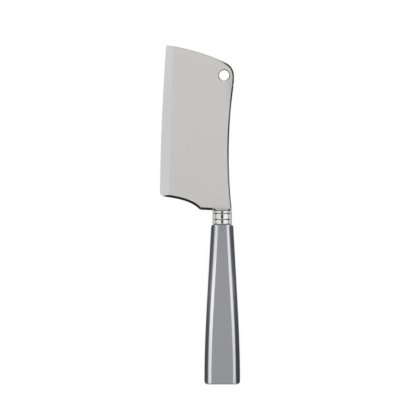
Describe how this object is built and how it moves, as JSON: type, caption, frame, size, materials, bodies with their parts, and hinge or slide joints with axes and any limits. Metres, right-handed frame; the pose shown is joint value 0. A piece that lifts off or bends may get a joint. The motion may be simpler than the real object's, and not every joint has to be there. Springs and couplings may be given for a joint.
{
  "type": "cheese cleaver",
  "caption": "Small cheese cleaver with a bevelled steel blade, a hanging hole, a ribbed ferrule and a flared, pearly handle.",
  "frame": {"origin": "under the middle of the knife's bounding box, on the plane that the handle's back face lies on", "axes": "+Y along the knife from the butt to the blade's tip, +X towards the spine, -X towards the cutting edge, +Z out of the blade's upper face"},
  "size_m": [0.0472, 0.2, 0.014],
  "materials": {
    "blade": "fine satin grain along the blade, polished chamfers round the rim",
    "ferrule": "polished chrome",
    "handle": "pearl grey, polished",
    "tang_adhesive": "cured clear glue"
  },
  "bodies": {
    "root": {"blade": "blade", "ferrule": "ferrule", "handle": "handle", "tang_adhesive": "tang_adhesive"}
  },
  "joints": []
}
